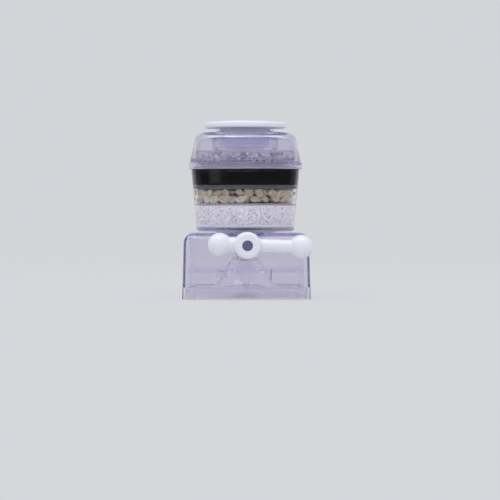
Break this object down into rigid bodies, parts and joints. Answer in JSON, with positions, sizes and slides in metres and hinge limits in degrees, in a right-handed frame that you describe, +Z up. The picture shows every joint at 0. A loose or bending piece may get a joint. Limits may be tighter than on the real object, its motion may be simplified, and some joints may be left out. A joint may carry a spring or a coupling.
{
  "type": "faucet mount water filter",
  "caption": "Clear screw-together filter that hangs from a spout: soft sleeve, domed cap, tapered cup with layered beds, and a spray head with a front lever that picks spray or stream.",
  "frame": {"origin": "centre of the sleeve's mouth, where the spout goes in", "axes": "+Z up along the spout's end, -Y towards the lever, +X towards the lever's long arm"},
  "size_m": [0.057, 0.062, 0.0791],
  "materials": {
    "white_silicone": "smooth white silicone rubber",
    "dark_rubber": "smooth black rubber",
    "steel_mesh": "fine perforated steel",
    "clear_lavender": "clear plastic with a lavender tint",
    "white_plastic": "glossy white plastic",
    "slate_plastic": "glossy slate violet plastic",
    "spring_steel": "bright stainless steel",
    "grey_mineral": "grey mineral grains",
    "white_felt": "white needled felt",
    "grey_felt": "grey needled felt",
    "black_carbon": "black carbon grains, wet and dark behind the clear wall",
    "tan_stones": "small rounded tan and cream stones",
    "brown_mesh": "fine brown mesh",
    "white_granules": "fine white granules"
  },
  "bodies": {
    "inlet": {"spout_sleeve": "white_silicone", "inlet_washer": "dark_rubber", "inlet_screen": "steel_mesh", "cap": "clear_lavender"},
    "seal": {"cup_seal": "white_silicone"},
    "cup": {"cup": "clear_lavender", "neck_grid": "white_plastic", "mineral_bed": "grey_mineral", "upper_pad": "white_felt", "carbon_bed": "black_carbon", "middle_pad": "grey_felt", "stone_bed": "tan_stones", "stone_screen": "brown_mesh", "granule_bed": "white_granules", "bottom_pad": "white_felt", "outlet_strainer": "white_plastic"},
    "head": {"head_shell": "clear_lavender", "swivel_washer": "dark_rubber", "spigot_seal": "dark_rubber", "spigot_clip": "spring_steel", "spindle_bush": "white_plastic", "stream_bell": "clear_lavender", "inner_floor": "clear_lavender", "plate_gasket": "white_silicone", "spray_plate": "clear_lavender", "stream_nozzle": "white_plastic", "stream_screen": "steel_mesh"},
    "lever": {"lever": "white_plastic", "lever_screw": "spring_steel", "lever_plug": "slate_plastic", "valve_rotor": "white_plastic", "rotor_seal_middle": "dark_rubber", "rotor_seal_front": "dark_rubber"}
  },
  "joints": [
    {"name": "cup_drop", "type": "slide", "parent": "inlet", "child": "seal", "axis": [0, 0, -1], "range_m": [0, 0.005]},
    {"name": "cup_turn", "type": "hinge", "parent": "seal", "child": "cup", "pos_m": [0, 0, -0.0215], "axis": [0, 0, -1], "range_deg": [0, 720]},
    {"name": "head_turn", "type": "hinge", "parent": "cup", "child": "head", "pos_m": [0, 0, -0.0497], "axis": [0, 0, 1], "continuous": true},
    {"name": "lever_turn", "type": "hinge", "parent": "head", "child": "lever", "pos_m": [0, -0.0309, -0.0552], "axis": [0, -1, 0], "range_deg": [0, 180]}
  ],
  "couplings": [
    {"joint": "cup_turn", "follows": "cup_drop", "rad_per_m": 2513.3}
  ]
}
